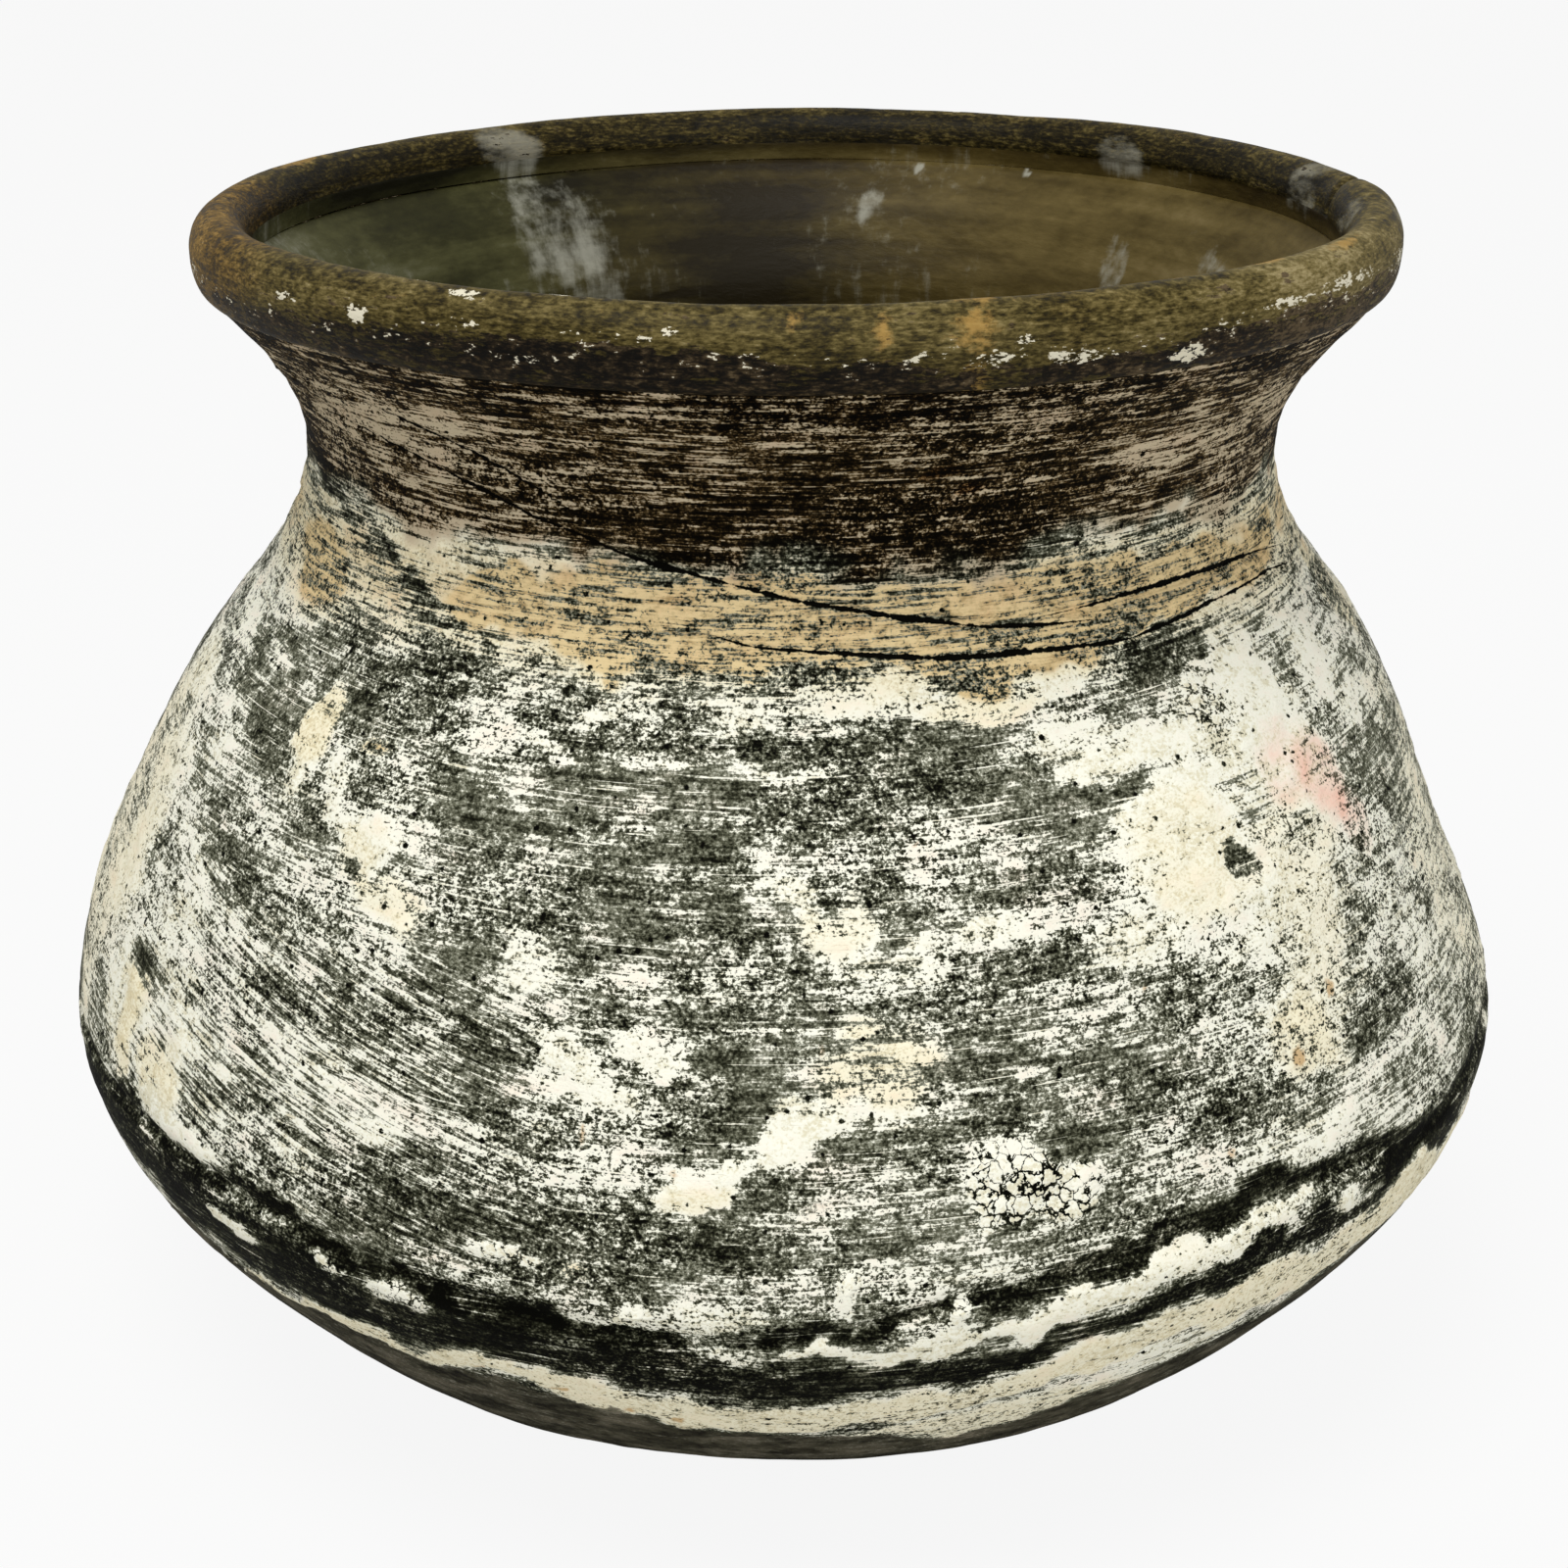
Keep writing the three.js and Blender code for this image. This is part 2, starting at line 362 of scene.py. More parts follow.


# %% [markdown]
# ## Patches of lime, bare clay and tan slip
# The limewash was brushed on thick, and half of it was rubbed off again. A patch is an oval: azimuth,
# height, width and height in millimetres, how much it adds to or takes from the cover, and its tilt in
# degrees, if any. Its edge is warped at three scales, and the grain of the finish breaks it further.

# %% Bands that run round under the belly
# the black band: partly bare clay where the lime was missed, partly painted shade on the underside of the
# belly's turn
BARE_AND_SHADED_BAND = [
    (-165, 42.5, 0.4), (-150, 42, 0.9), (-138, 41.2, 1.2), (-128, 39.8, 1.25), (-118, 39.2, 1.25),
    (-108, 38.4, 1.15), (-102, 37.3, 1), (-96, 36.4, 0.95), (-90, 35.8, 0.95), (-83, 35.8, 0.75),
    (-77, 36.2, 0.6), (-70, 38, 0.5), (-62, 40, 0.5), (-54, 42, 0.6), (-46, 43, 0.6), (-38, 43, 0.5),
    (-10, 42, 0.4), (60, 39, 0.6), (140, 41, 0.6),
]
UPPER_LEDGE = [
    (-98, 41.6, 0), (-94, 40.6, 0.8), (-90, 39.6, 1), (-85, 38.8, 1), (-80, 40, 1), (-75, 41.4, 1),
    (-70, 43, 1.4), (-66, 43.6, 1.3), (-61, 44, 1), (-55, 45.4, 0.9), (-51, 46.6, 0.5), (-48, 47, 0),
    (40, 44, 0), (62, 43.4, 0.9), (90, 43, 0),
]
LOWER_LEDGE = [
    (-140, 33, 0), (-128, 33, 0.3), (-118, 33.4, 0.6), (-110, 33.4, 0.9), (-107, 33, 0.95),
    (-103, 30.4, 1.35), (-96.5, 29.4, 1.2), (-90, 28.6, 1.5), (-83, 29, 1.2), (-77, 31.2, 0.9),
    (-70, 34, 0.75), (-64, 35, 1.1), (-54, 36.4, 1.4), (-47, 37.6, 1.5), (-38, 38, 1.2), (-20, 37, 0),
    (30, 35, 0), (60, 34, 1), (110, 32, 1), (150, 33, 0),
]
BANDS = [
    # path, width in millimetres, what it adds to the lime, and to the tan
    (BARE_AND_SHADED_BAND, 7, -0.36, 0), (BELLY_CREASE, 3, -0.32, 0),
    (UPPER_LEDGE, 2.8, 0.28, 0.15), (LOWER_LEDGE, 5, 0.27, 0.38),
]
LIME_SHARE, TAN_SHARE = 0, 1
# the bare underside ends at this line
BARE_LINE = [
    (-165, 36, 1), (-140, 34, 1), (-128, 32.4, 1), (-118, 31.6, 1), (-107, 30, 1), (-101, 26.6, 1),
    (-93, 24.6, 1), (-86, 23, 1), (-79, 20.5, 1), (-74, 21.5, 1), (-70, 23.4, 1), (-60, 28, 1),
    (-50, 31, 1), (-38, 33, 1), (30, 30, 1), (110, 28, 1),
]

# %% Lime that stayed, listed one by one
LIME_PATCHES = [
    # smears under the neck
    (-96, 99, 34, 5, 0.2), (-84, 99, 30, 4, 0.18, 2), (-104, 94.5, 34, 1.6, 0.36, -2),
    (-86, 93.5, 22, 1.8, 0.3, 2), (-41, 94, 10, 8, 0.42, -20), (-57, 92.6, 18, 3, 0.32, 4),
    (-64, 100, 6, 5, 0.36), (-76, 98, 26, 4, 0.16, 2), (-28, 92, 12, 9, 0.2), (-48, 91, 18, 3, 0.3, 6),
    (-46, 91, 26, 10, 0.16),
    # the big cream patch on the right and its neighbours
    (-56, 84, 16, 13, 0.42, -8), (-63, 76, 14, 5, 0.28), (-50, 76, 13, 9, 0.3), (-72, 80, 10, 4, 0.3, 8),
    (-49, 63, 15, 10, 0.24), (-43, 72, 10, 9, 0.2), (-38, 84, 10, 10, 0.2), (-30, 70, 12, 22, 0.12),
    # the middle
    (-90, 83, 8, 4, 0.3, -40), (-86, 79, 7, 4, 0.26, -35), (-84, 68, 10, 12, 0.18),
    (-80, 77, 12, 4, 0.22, 4), (-84, 63, 16, 3, 0.18), (-90, 63, 7, 7, 0.4), (-98, 68, 12, 2.4, 0.4, -25),
    (-104, 66, 12, 5, 0.36, -20), (-95, 57, 8, 5, 0.4, 20), (-92, 60, 16, 2, 0.32, 28),
    (-96, 75, 16, 3, 0.14), (-108, 76, 9, 5, 0.22, 20),
    # the left side
    (-136, 91, 4, 12, 0.4, 4), (-131, 88, 4, 7, 0.3, 20), (-126, 84, 11, 4, 0.4, -8),
    (-123, 79, 8, 4, 0.2, -30), (-144, 68, 12, 11, 0.2), (-150, 56, 12, 14, 0.25),
    (-134, 71, 18, 6, 0.1, -10), (-140, 60, 16, 5, 0.2, -16), (-126, 61, 26, 3, 0.2, -17),
    (-114, 54, 24, 3, 0.2, -17), (-150, 88, 6, 14, 0.2), (-158, 72, 10, 26, 0.2),
    # flakes along the belly
    (-108, 48.5, 9, 1.2, 0.6, -3), (-116, 41.3, 6, 3, 0.6, -10), (-122, 42.4, 5, 1.6, 0.6, -10),
    (-86, 47, 3, 4, 0.5), (-103, 42.6, 6, 1.4, 0.6, -6), (-100, 43.8, 6, 1.3, 0.6, 18),
    (-78, 43.6, 1.8, 6, 0.6, -20), (-45, 43, 4, 1.6, 0.6, 10), (-137, 48.8, 14, 2.2, 0.4, -8),
    (-133, 41.4, 10, 1.8, 0.6, -4), (-95, 43.6, 12, 4, 0.3), (-142, 52, 12, 6, 0.3), (-80, 48, 20, 3, 0.14),
    (-52, 52, 20, 5, 0.16, 4), (-139, 49, 16, 2.4, 0.7, -4), (-132, 41.4, 12, 2, 0.8, -6),
    (-46.7, 43.8, 6, 2, 0.8, 8), (-140, 55, 5, 8, 0.4), (-149, 56, 3, 12, 0.5, 10), (-123, 43, 3, 1.4, 0.7),
    # more under the neck, and down both sides
    (-106, 98, 10, 3, 0.3, -4), (-97, 98, 10, 3, 0.3), (-81, 98.6, 10, 4, 0.3), (-65, 94, 12, 4, 0.3, 4),
    (-166, 66, 30, 50, 0.16), (-14, 68, 30, 50, 0.16), (-43, 77, 20, 26, 0.14),
    # wide and mostly faint: paler towards both sides
    (-42, 64, 60, 40, 0.1), (-138, 72, 50, 50, 0.1), (-30, 99, 26, 14, 0.06), (-72, 78, 50, 20, 0.05),
    (-132, 119, 44, 18, 0.3), (-38, 119, 40, 18, 0.32), (-44, 94, 34, 16, 0.055), (-96, 95, 44, 9, 0.04),
    (-150, 54, 26, 30, 0.03), (-48, 57, 26, 18, 0.03),
    # streaks below the lower ledge
    (-76, 25, 30, 6, 0.3, 10), (-62, 30.5, 26, 4, 0.3, 8),
]

# %% Bare clay, tan slip, crusts and stains, listed one by one
BARE_PATCHES = [
    (-50, 98.8, 16, 5, 0.4, 14), (-69, 82, 11, 4, 0.26), (-85, 89.5, 7, 3.6, 0.3),
    (-58, 90, 22, 1.8, 0.32, 4), (-72, 76, 14, 3, 0.26), (-52, 81, 3.4, 3.4, 1.4), (-104, 97, 14, 3, 0.16),
    (-80, 92, 30, 3, 0.24, 2), (-70, 89, 14, 3, 0.14), (-125, 81, 3, 2.6, 0.5), (-145, 91, 16, 8, 0.28),
    (-140, 77, 20, 3, 0.25, -22), (-149, 62, 5, 5, 0.4), (-95.5, 64, 6, 5, 0.4), (-103, 71, 6, 4, 0.3),
    (-88, 58.6, 9, 2.6, 0.38), (-99, 66, 4, 1.6, 0.3), (-108, 84, 26, 3, 0.16, -4), (-64, 63, 18, 4, 0.16),
    (-100, 52, 26, 4, 0.2, -10), (-112, 66, 12, 5, 0.2, -20), (-80, 67, 22, 2, 0.16, 2),
    (-96, 80, 16, 3, 0.14), (-38, 60, 18, 6, 0.2), (-112, 51, 34, 9, 0.4, -8), (-92, 96, 48, 12, 0.3),
    (-130, 100, 20, 14, 0.1), (-84.5, 25.4, 7, 2.8, 1.2), (-140, 109.2, 28, 2.4, 0.5, -16),
    (-92, 32, 12, 2, 0.4), (-79, 82, 30, 18, 0.025), (-92, 61, 20, 20, 0.03), (-88, 116, 56, 8, 0.12),
    (-100, 82, 22, 14, 0.14), (-84, 73, 22, 3, 0.12), (-66, 60, 14, 4, 0.16, 4), (-57, 58, 12, 4, 0.16, 10),
]
TAN_PATCHES = [
    (-84, 109, 60, 7, 0.6), (-68, 104, 44, 7, 0.9), (-99, 104, 20, 5, 0.8), (-107, 110, 10, 5, 0.9, -10),
    (-111, 105, 8, 6, 0.8), (-121, 106, 10, 6, 0.7), (-45, 107, 26, 7, 0.7, 6), (-136, 92, 5, 8, 0.5),
    (-128, 92, 6, 1.4, 0.9, 5), (-126, 83, 9, 5, 0.3), (-122, 79, 8, 5, 0.3, -30), (-56, 83, 14, 11, 0.28),
    (-84, 68, 14, 9, 0.4), (-49, 61, 10, 9, 0.35), (-149, 55, 6, 16, 0.5), (-95, 56, 7, 4, 0.3),
    (-87, 80, 8, 6, 0.25), (-103, 48.5, 5, 1.4, 0.6, -3), (-142, 54, 12, 8, 0.4), (-30, 106, 14, 6, 0.6),
    (-150, 104, 16, 8, 0.6), (-72, 98, 14, 3, 0.3), (-166, 66, 34, 50, 0.3), (-14, 66, 34, 50, 0.25),
    (-45, 74, 16, 26, 0.25), (-74, 24, 34, 8, 0.35, 10),
]
CRUST_PATCHES = [
    (-74.5, 56.6, 10, 7, 0.8), (-70.6, 55.2, 8, 6, 0.7, 20), (-48, 95, 6, 4, 0.4),
    (-108, 48.5, 8, 1.6, 0.6, -3), (-116, 41.3, 5, 3, 0.6, -10), (-100, 43.8, 6, 1.6, 0.6, 18),
    (-86, 47, 3, 4, 0.5), (-78, 43.6, 2, 6, 0.5, -20), (-122, 42.4, 5, 2, 0.5, -10),
]
PINK_STAINS = [
    (-37, 84, 8, 10, 0.55, 20), (-42, 87, 9, 8, 0.35), (-34, 78, 7, 8, 0.35), (120, 70, 9, 6, 0.4),
]
RUST_STAINS = [
    (-44.5, 65.2, 1.6, 2.2, 0.8), (-50, 60.5, 2.4, 2.4, 0.8), (-76.6, 122.7, 5, 2, 0.7, 8),
    (-73.3, 120.6, 3, 1.6, 0.7), (-104, 61, 1.2, 2.6, 0.6), (-97, 58, 1.6, 1.6, 0.5),
    (-88, 70, 1.2, 1.2, 0.6), (-80, 88, 1, 1, 0.6), (-62, 72, 1.2, 1, 0.7), (-111, 32.4, 1.4, 1, 0.8),
    (-106, 31, 2, 1, 0.8), (-101, 28.6, 2.2, 1.2, 0.8), (-98, 27.6, 1.4, 1, 0.9), (-58, 54, 2, 1.6, 0.5),
    (70, 60, 3, 2, 0.6), (130, 90, 2, 2, 0.6),
]

# %% How far inside patches and bands a vertex lies
PATCH_STRENGTH = 0.58


def oval(azimuth, height, shift, centre, level, wide, tall, amount, tilt=0):
    """How far inside a ragged oval each vertex lies: the patch's amount well inside, 0 outside."""
    across = np.radians(angle_from(azimuth, centre)) * np.interp(level, SKIN[:, 1] / MM, SKIN[:, 0] / MM)
    across = across + shift[:, 0]
    # a thin patch drifts less up and down
    up = height - level + shift[:, 1] * min(1, tall / 6)
    turned = math.radians(tilt)
    along = across * math.cos(turned) + up * math.sin(turned)
    off = up * math.cos(turned) - across * math.sin(turned)
    return amount * soft_step(1.35, 0.65, np.hypot(along / (wide / 2), off / (tall / 2)))


def cover(patches, azimuth, height, shift):
    return sum(oval(azimuth, height, shift, *patch) for patch in patches)


def banded(azimuth, height, shift, share):
    """What the bands under the belly add to the lime or to the tan."""
    total = np.zeros(len(height))
    for line, width, *shares in BANDS:
        offset = line_offset(line, azimuth, height + 0.7 * shift[:, 1])
        reach = np.abs(offset) / (width / 2) + 0.16 * shift[:, 0]
        total += shares[share] * soft_step(1.2, 0.85, reach)
    return total


# %% Patches on the far side, seeded
dice = random.Random(7)


def far_patches(count, low, high, amount):
    """Patches of the same kind, strewn over the side that the viewer doesn't see."""
    patches = []
    for _ in range(count):
        wide = dice.uniform(5, 24)
        azimuth, level = dice.uniform(-10, 195), dice.uniform(low, high)
        tall, tilt = wide * dice.uniform(0.15, 0.7), dice.uniform(-15, 15)
        patches.append((azimuth, level, wide, tall, amount * dice.uniform(0.5, 1.2), tilt))
    return patches


LIME_PATCHES += far_patches(44, 24, 102, 0.3)
BARE_PATCHES += far_patches(32, 24, 102, 0.28)
TAN_PATCHES += far_patches(20, 30, 112, 0.5)
print("patches:", len(LIME_PATCHES), "lime,", len(BARE_PATCHES), "bare,", len(TAN_PATCHES), "tan")

# %% [markdown]
# ## The waver of a hand-built pot
# No hand-built pot is quite round or level. The whole pot is warped gently, the same way in every
# section and on both faces of the wall, so the joints stay shut and the wall keeps its thickness.

# %% Warp every section alike
HOLLOWS = [
    # azimuth, height, width in degrees, height in millimetres, depth in millimetres (a swelling is below 0)
    (-14, 66, 60, 26, 1.6), (-170, 60, 50, 28, -0.9), (-152, 34, 50, 26, 0.5), (-122, 20, 60, 22, 1.2),
    (-80, 12, 40, 14, -0.5), (-55, 23, 36, 14, 0.5), (-166, 98, 50, 20, 0.9), (-12, 95, 50, 14, -0.7),
    (70, 60, 80, 40, 0.8), (140, 40, 60, 30, -0.6),
]


def waver(place, azimuth, height):
    lift = soft_step(8, 60, height)
    mouth = soft_step(95, 135, height)
    turn_angle = np.radians(azimuth)
    radius = np.hypot(place[:, 0], place[:, 1])
    swell = lift * (0.004 * np.cos(2 * (turn_angle - 0.6)) + 0.003 * np.cos(3 * (turn_angle + 0.4)))
    swell -= 0.009 * mouth
    out = radius * swell
    for centre, level, wide, tall, deep in HOLLOWS:
        near = dent(angle_from(azimuth, centre), wide) * dent(height - level, tall)
        out -= deep * MM * near * soft_step(2, 16, height)
    place[:, 0] += out * np.cos(turn_angle)
    place[:, 1] += out * np.sin(turn_angle)
    place[:, 0] += (0.3 * lift + 1.1 * mouth) * MM
    place[:, 2] -= 0.5 * MM * mouth * soft_step(0.4, 1, np.cos(turn_angle - 2.6))
    return place


# %% [markdown]
# ## Relief on the skin
# Relief deep enough to catch the light is real geometry: the hollows of the paddle, the rings of the
# wheel, the cut lines, and the crust of thick lime. Finer grain than the mesh can hold goes to the bump.
# All of it dies away just under the rim, where the coil of the next section is folded on.

# %% Relief of the skin, in millimetres


def skin_relief(place, azimuth, height, shift, lime, crust):
    relief = 0.5 * rough(place, 32)[:, 0] + 0.12 * rough(place, 7)[:, 0]
    relief += 0.06 * np.sin(height / 0.62 + shift[:, 0]) * soft_step(100, 110, height)
    relief += 0.05 * np.sin(height / 0.9 + shift[:, 0])
    for line in NECK_LINES:
        offset = line_offset(line, azimuth, height)
        relief += 0.18 * dent(offset - 1.6, 2.2) - 0.45 * dent(offset, 1.4)
    relief -= 0.7 * dent(line_offset(BELLY_CREASE, azimuth, height), 2.6)
    relief += 0.3 * banded(azimuth, height, shift, TAN_SHARE)
    fine = rough(place, 1.7)
    relief += 0.18 * soft_step(0.6, 0.85, lime + 0.25 * fine[:, 0])
    relief += crust * (0.45 + 0.4 * fine[:, 1])
    return relief * soft_step(0.5, 6, height) * soft_step(133, 130, height)


# %% Values for the fields, and helpers that keep them
NECK_LIMED = (115, 124)
TAN_ENDS = (109.5, 116.5)
BELLY_TURNS_UNDER = (44, 38)
ROOT_HEIGHT = 107
# brushed at a slant on the left
SLANT_AZIMUTH = -128
SLANT_LEAN = math.radians(12)
SLANT_RADIUS = 85 * MM
# azimuths where painted shade darkens the inside, most on the far side, where the far lip casts its shadow
PAINTED_SHADE_INSIDE = [(98, 2.4), (176, 0.8)]
LEAN = np.arctan2(TANGENT[:, 0], TANGENT[:, 1])
INNER_SMEARS = [
    (125, 128, 15, 13, 0.5, 50), (119, 122, 9, 14, 0.25), (80, 129.5, 4, 5, 0.5), (41, 124, 7, 10, 0.45),
    (20, 127, 9, 5, 0.5, 20), (73, 134, 1.4, 1.2, 0.9), (59, 134, 1.4, 1.2, 0.9),
    (150, 110, 12, 20, 0.3, 30), (-60, 118, 14, 9, 0.4), (-120, 100, 18, 12, 0.3), (10, 70, 30, 16, 0.3),
    (200, 60, 26, 20, 0.3),
]


def skin_normal(azimuth, height):
    lean = np.interp(height, SKIN[:, 1] / MM, LEAN)
    turn_angle = np.radians(azimuth)
    level = np.cos(lean)
    return np.stack([level * np.cos(turn_angle), level * np.sin(turn_angle), -np.sin(lean)], 1)


def browner(azimuth, broad):
    """Where the clay inside is brown and not green."""
    return soft_step(-0.6, 0.7, np.cos(np.radians(azimuth - 20)) + 0.3 * broad[:, 0])


def finish_mesh(piece, place):
    piece.data.vertices.foreach_set("co", place.astype(np.float32).ravel())
    piece.data.polygons.foreach_set("use_smooth", np.ones(len(piece.data.polygons), bool))
    piece.data.set_sharp_from_angle(angle=math.radians(62))
    piece.data.update()


def store(piece, **fields):
    """Keeps numbers on the vertices under the names that the finishes read."""
    for name, numbers in fields.items():
        kept = piece.data.attributes.new(name, "FLOAT", "POINT")
        kept.data.foreach_set("value", numbers.astype(np.float32))


# %% Give the three walled sections their fields and their relief


def dress(piece):
    place, side, azimuth, height = survey(piece)
    broad = rough(place, 24)
    middle = rough(place, 10)
    shift = 3.2 * middle[:, :2] + 2.2 * rough(place, 3.6)[:, :2] + 1.1 * rough(place, 1.8)[:, :2]

    here = azimuth, height, shift
    neck = soft_step(*NECK_LIMED, height + 0.8 * shift[:, 1])
    above_tan = soft_step(*TAN_ENDS, height + 0.9 * shift[:, 1])
    under = soft_step(*BELLY_TURNS_UNDER, height)
    root = dent(height - ROOT_HEIGHT - 0.3 * shift[:, 1], 12)
    bottom = soft_step(1.6, -1.6, height - path_at(BARE_LINE, azimuth)[0] + 0.6 * shift[:, 1])

    lime = 0.51 + 0.04 * broad[:, 0] + 0.04 * middle[:, 2] + 0.13 * root - 0.27 * above_tan + 0.15 * neck
    patches = cover(LIME_PATCHES, *here) - cover(BARE_PATCHES, *here)
    bands = banded(*here, LIME_SHARE)
    least = 0.405 + 0.03 * middle[:, 0] - 0.12 * above_tan
    least += 0.035 * soft_step(54, 62, height) * soft_step(96, 88, height)
    lime = np.maximum(lime + PATCH_STRENGTH * patches + np.maximum(bands, 0), least) + np.minimum(bands, 0)
    lime -= 0.14 * bottom
    tan = cover(TAN_PATCHES, *here) + 0.72 * root
    tan += banded(*here, TAN_SHARE)
    # soot from the fire, with painted shade in it: the band under the lip's overhang and the underside below
    # the belly are darkened partly for shade
    soot = 0.5 * soft_step(126.5, 131, height) + 0.15 * under + 0.2 * bottom
    from_slant = angle_from(azimuth, SLANT_AZIMUTH)
    slant = soft_step(34, 12, np.abs(from_slant)) * soft_step(84, 68, height) * soft_step(42, 50, height)
    streaks = 0.32 + 0.55 * above_tan + 0.2 * under - 0.4 * bottom + 0.6 * root + 0.4 * slant
    crust = cover(CRUST_PATCHES, azimuth, height, 0.7 * shift)
    tilted_height = height * MM + math.tan(SLANT_LEAN) * np.radians(from_slant) * SLANT_RADIUS
    store(
        piece, lime=lime, tan=tan, soot=soot, slant=slant, streaks=streaks, crust=crust, bottom=bottom,
        above_tan=above_tan, tilted_height=tilted_height,
        pink=cover(PINK_STAINS, azimuth, height, 0.4 * shift),
        rust=cover(RUST_STAINS, azimuth, height, 0.4 * shift),
    )
    for number, line in enumerate(NECK_LINES):
        store(piece, **{f"line_{number}": line_offset(line, azimuth, height)})

    # painted shade on the inside: darker further down, and darker still on the far side and on the left
    deep = 1.4 * soft_step(126, 100, height) - 0.6
    for centre, amount in PAINTED_SHADE_INSIDE:
        deep += amount * dent(angle_from(azimuth, centre), 60)
    store(piece, smear=cover(INNER_SMEARS, *here), warm=browner(azimuth, broad), deep=deep)

    relief = skin_relief(place, *here, lime, crust)
    finger_rings = 0.35 * broad[:, 1] + 0.16 * np.sin(height / 1.5 + broad[:, 2])
    depth = np.where(side > 0.5, relief, 0) + np.where(side < -0.5, finger_rings, 0)
    place += skin_normal(azimuth, height) * (depth * MM)[:, None]
    print(piece.name, "relief:", round(depth.min(), 2), "to", round(depth.max(), 2), "mm")
    finish_mesh(piece, waver(place, azimuth, height))


for piece in (base, wall, collar):
    dress(piece)

# %% [markdown]
# ## The rolled rim
# The rim is a coil of clay folded over the edge and rubbed with a wet cloth. Its two ends lap on the
# right and leave a crease with a hollow beside it. Handling left the top smooth, and the fire scorched
# the outer edge under it.

# %% The lap of the coil and the rim's marks
LAP_AZIMUTH = 5
RIM_FLAKES = [
    # azimuth, millimetres outwards from the top of the roll, width in degrees, how thick
    (-118, 1.2, 4, 1.2), (-113, -1.6, 2.4, 1.5), (-110, -1, 2.8, 1.5), (-105.5, -1.4, 4, 1.3),
    (-102.5, -1.6, 3, 1.3), (-97.5, -2, 5, 1.2), (-124, -1, 3, 0.9), (-60, -2, 6, 0.8),
    (-131, -2.2, 3, 0.9), (70, 0, 6, 0.8), (130, 1, 8, 0.8),
]
RIM_FLECKS = [
    # azimuth, height, width in degrees, height of the cluster in millimetres, how thick
    (-137, 138.3, 4, 1.6, 1), (-128, 137.9, 3, 2.6, 1.3), (-118, 138.4, 10, 1.6, 0.75),
    (-106, 138.6, 12, 1.4, 0.7), (-100, 139.2, 2.4, 1.4, 1.1), (-102, 138.4, 2, 1.2, 1),
    (-95, 137, 10, 2, 0.7), (-88, 136.6, 12, 2, 0.75), (-80, 136.9, 8, 2, 0.9), (-75, 136.3, 7, 2.2, 1.1),
    (-72, 137.8, 3, 1.4, 1.2), (-67, 135.9, 10, 2.2, 1.05), (-57, 134.6, 6, 2.6, 1.05),
    (-52, 137.3, 8, 1.6, 1), (-45, 138, 12, 1.8, 1), (-33, 138.1, 18, 2.6, 0.95),
    (-18, 137.4, 16, 4, 0.9), (-3, 136.6, 10, 5, 0.8), (64, 136.5, 22, 2.4, 0.75),
    (110, 137, 30, 2.4, 0.75), (150, 136.6, 24, 2.4, 0.75), (-160, 136.4, 18, 3, 0.7),
    (-112, 136, 24, 3, 0.6),
]
RIM_STAINS = [
    # azimuth, millimetres outwards from the top of the roll, width in degrees
    (-92, -1.4, 4), (-90.3, 2, 1.6), (-83.5, 2.6, 1.4), (-76, 2.4, 3.6), (-75, 0, 4.6), (-68, -1.6, 3.6),
    (-57, -1, 6), (-44, -1, 6), (-31, 0.6, 8), (160, 0, 14), (60, 1, 10),
]
SCORCH_TOP = [
    (-170, 134.4, 0.3), (-150, 135.6, 0.45), (-137, 137, 0.55), (-120, 138.2, 0.62), (-106, 137.6, 0.85),
    (-98, 137.2, 0.85), (-88, 136.6, 0.68), (-76, 135.7, 0.6), (-67, 135.4, 0.65), (-56, 136.2, 0.75),
    (-45, 137, 0.82), (-32, 136.6, 0.6), (-10, 135.6, 0.55), (60, 135.8, 0.6), (120, 136.8, 0.6),
]
RIM_SMEARS = [
    (128, 138, 12, 8, 0.5), (47, 138, 9, 6, 0.5), (12, 138, 9, 8, 0.4), (-8, 138, 12, 8, 0.35),
]

# %% Give the rim its fields and its relief


